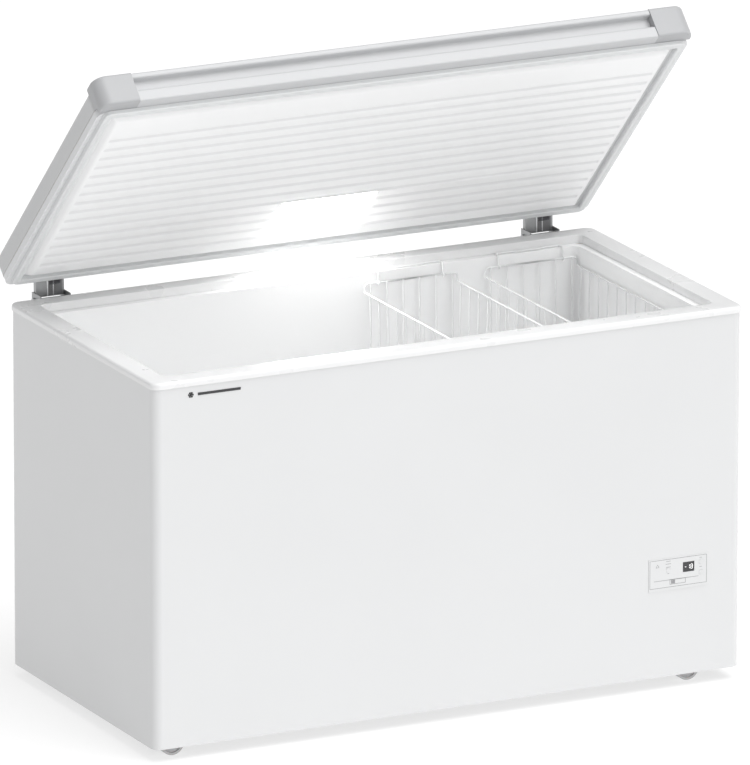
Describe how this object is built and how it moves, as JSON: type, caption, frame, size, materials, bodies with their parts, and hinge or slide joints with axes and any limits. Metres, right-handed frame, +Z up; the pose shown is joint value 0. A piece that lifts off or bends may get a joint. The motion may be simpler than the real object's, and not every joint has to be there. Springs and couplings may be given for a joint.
{
  "type": "chest freezer",
  "caption": "Chest freezer with insulated cabinet, spring-hinged lid with lamp and grip profile, hanging wire baskets, control panel and rollers.",
  "frame": {"origin": "on the floor, at the middle of the box round the freezer with its lid standing open", "axes": "+X to the freezer's right, +Y to its back, +Z up"},
  "size_m": [1.291, 0.723, 1.3204],
  "materials": {
    "white_steel": "satin white powder coat",
    "zinc_steel": "zinc plated",
    "foam": "rigid polyurethane foam",
    "liner_white": "satin white",
    "white_plastic": "satin gloss",
    "grey_plastic": "matte",
    "copper": "drawn copper",
    "aluminium_tube": "drawn",
    "black_steel": "black enamel",
    "black_rubber": "matte",
    "black_plastic": "matte",
    "grille_plastic": "fine texture",
    "dark_glass": "glossy",
    "circuit_board": "solder mask",
    "key_plastic": "satin",
    "badge_grey": "satin",
    "roller_plastic": "satin",
    "pin_steel": "turned",
    "spring_steel": "oiled",
    "frame_plastic": "satin",
    "gasket_rubber": "soft matte",
    "handle_plastic": "satin",
    "cap_plastic": "satin",
    "lamp_lens": "opal",
    "basket_wire": "white plastic coat"
  },
  "bodies": {
    "cabinet": {"outer_casing": "white_steel", "rear_panel": "white_steel", "base_pan": "zinc_steel", "cabinet_foam": "foam", "inner_liner": "liner_white", "top_collar": "white_plastic", "bay_partition": "grey_plastic", "condenser_tube": "copper", "evaporator_tube": "aluminium_tube", "compressor": "black_steel", "compressor_plate": "zinc_steel", "compressor_grommets": "black_rubber", "compressor_bolts": "zinc_steel", "relay_cover": "black_plastic", "filter_drier": "copper", "suction_pipe": "copper", "ventilation_grille": "grille_plastic", "grille_screws": "zinc_steel", "power_inlet": "black_plastic", "drain_tube": "white_plastic", "control_fascia": "white_plastic", "display_window": "dark_glass", "control_board": "circuit_board", "front_badge": "badge_grey", "roller_brackets": "zinc_steel", "roller_axles": "zinc_steel", "hinge_bracket_left": "zinc_steel", "hinge_bracket_right": "zinc_steel", "hinge_pins": "pin_steel", "hinge_springs": "spring_steel", "hinge_screws": "zinc_steel"},
    "lid": {"hinge_leaf_left": "zinc_steel", "hinge_leaf_right": "zinc_steel", "lid_screws": "zinc_steel", "lid_pan": "white_steel", "lid_frame": "frame_plastic", "lid_foam": "foam", "lid_inner_panel": "liner_white", "lid_gasket": "gasket_rubber", "handle_profile": "handle_plastic", "handle_cap_left": "cap_plastic", "handle_cap_right": "cap_plastic", "lamp_housing": "white_plastic", "lamp_lens": "lamp_lens", "lamp_board": "circuit_board"},
    "spring_cups": {"spring_cups": "black_plastic"},
    "drain_plug": {"drain_plug": "white_plastic"},
    "key_power": {"key_power": "key_plastic"},
    "key_up": {"key_up": "key_plastic"},
    "key_down": {"key_down": "key_plastic"},
    "roller_front_left": {"roller_front_left": "roller_plastic"},
    "roller_front_right": {"roller_front_right": "roller_plastic"},
    "roller_rear_left": {"roller_rear_left": "roller_plastic"},
    "roller_rear_right": {"roller_rear_right": "roller_plastic"},
    "basket_left": {"basket_left": "basket_wire"},
    "basket_right": {"basket_right": "basket_wire"},
    "left_basket_front_handle": {"left_basket_front_handle": "basket_wire"},
    "left_basket_rear_handle": {"left_basket_rear_handle": "basket_wire"},
    "right_basket_front_handle": {"right_basket_front_handle": "basket_wire"},
    "right_basket_rear_handle": {"right_basket_rear_handle": "basket_wire"}
  },
  "joints": [
    {"name": "lid_hinge", "type": "hinge", "parent": "cabinet", "child": "lid", "pos_m": [0, 0.33097, 0.753], "axis": [-1, 0, 0], "range_deg": [-45.6, 34.4]},
    {"name": "cup_slide", "type": "slide", "parent": "cabinet", "child": "spring_cups", "axis": [0, 0, 1], "range_m": [-0.0168, 0.0128], "deforming": ["hinge_springs"]},
    {"name": "drain_plug_lift", "type": "slide", "parent": "cabinet", "child": "drain_plug", "axis": [0, 0, 1], "range_m": [0, 0.7]},
    {"name": "key_power_press", "type": "slide", "parent": "cabinet", "child": "key_power", "axis": [0, 1, 0], "range_m": [0, 0.0008], "stiffness_N_per_m": 400, "springref_m": -0.001},
    {"name": "key_up_press", "type": "slide", "parent": "cabinet", "child": "key_up", "axis": [0, 1, 0], "range_m": [0, 0.0008], "stiffness_N_per_m": 400, "springref_m": -0.001},
    {"name": "key_down_press", "type": "slide", "parent": "cabinet", "child": "key_down", "axis": [0, 1, 0], "range_m": [0, 0.0008], "stiffness_N_per_m": 400, "springref_m": -0.001},
    {"name": "roller_front_left_spin", "type": "hinge", "parent": "cabinet", "child": "roller_front_left", "pos_m": [-0.5865, -0.31404, 0.025], "axis": [0, 1, 0], "continuous": true},
    {"name": "roller_front_right_spin", "type": "hinge", "parent": "cabinet", "child": "roller_front_right", "pos_m": [0.5445, -0.31404, 0.025], "axis": [0, 1, 0], "continuous": true},
    {"name": "roller_rear_left_spin", "type": "hinge", "parent": "cabinet", "child": "roller_rear_left", "pos_m": [-0.5865, 0.25296, 0.025], "axis": [0, 1, 0], "continuous": true},
    {"name": "roller_rear_right_spin", "type": "hinge", "parent": "cabinet", "child": "roller_rear_right", "pos_m": [0.5445, 0.25296, 0.025], "axis": [0, 1, 0], "continuous": true},
    {"name": "basket_left_glide", "type": "slide", "parent": "cabinet", "child": "basket_left", "axis": [1, 0, 0], "range_m": [-0.68, 0.055]},
    {"name": "basket_right_glide", "type": "slide", "parent": "cabinet", "child": "basket_right", "axis": [1, 0, 0], "range_m": [-0.055, 0]},
    {"name": "left_basket_front_handle_fold", "type": "hinge", "parent": "basket_left", "child": "left_basket_front_handle", "pos_m": [0.20625, -0.29053, 0.73], "axis": [-1, 0, 0], "range_deg": [0, 125]},
    {"name": "left_basket_rear_handle_fold", "type": "hinge", "parent": "basket_left", "child": "left_basket_rear_handle", "pos_m": [0.20625, 0.22947, 0.73], "axis": [1, 0, 0], "range_deg": [0, 125]},
    {"name": "right_basket_front_handle_fold", "type": "hinge", "parent": "basket_right", "child": "right_basket_front_handle", "pos_m": [0.47425, -0.29053, 0.73], "axis": [-1, 0, 0], "range_deg": [0, 125]},
    {"name": "right_basket_rear_handle_fold", "type": "hinge", "parent": "basket_right", "child": "right_basket_rear_handle", "pos_m": [0.47425, 0.22947, 0.73], "axis": [1, 0, 0], "range_deg": [0, 125]}
  ],
  "couplings": [
    {"joint": "cup_slide", "follows": "lid_hinge", "m_per_rad": 0.021}
  ]
}
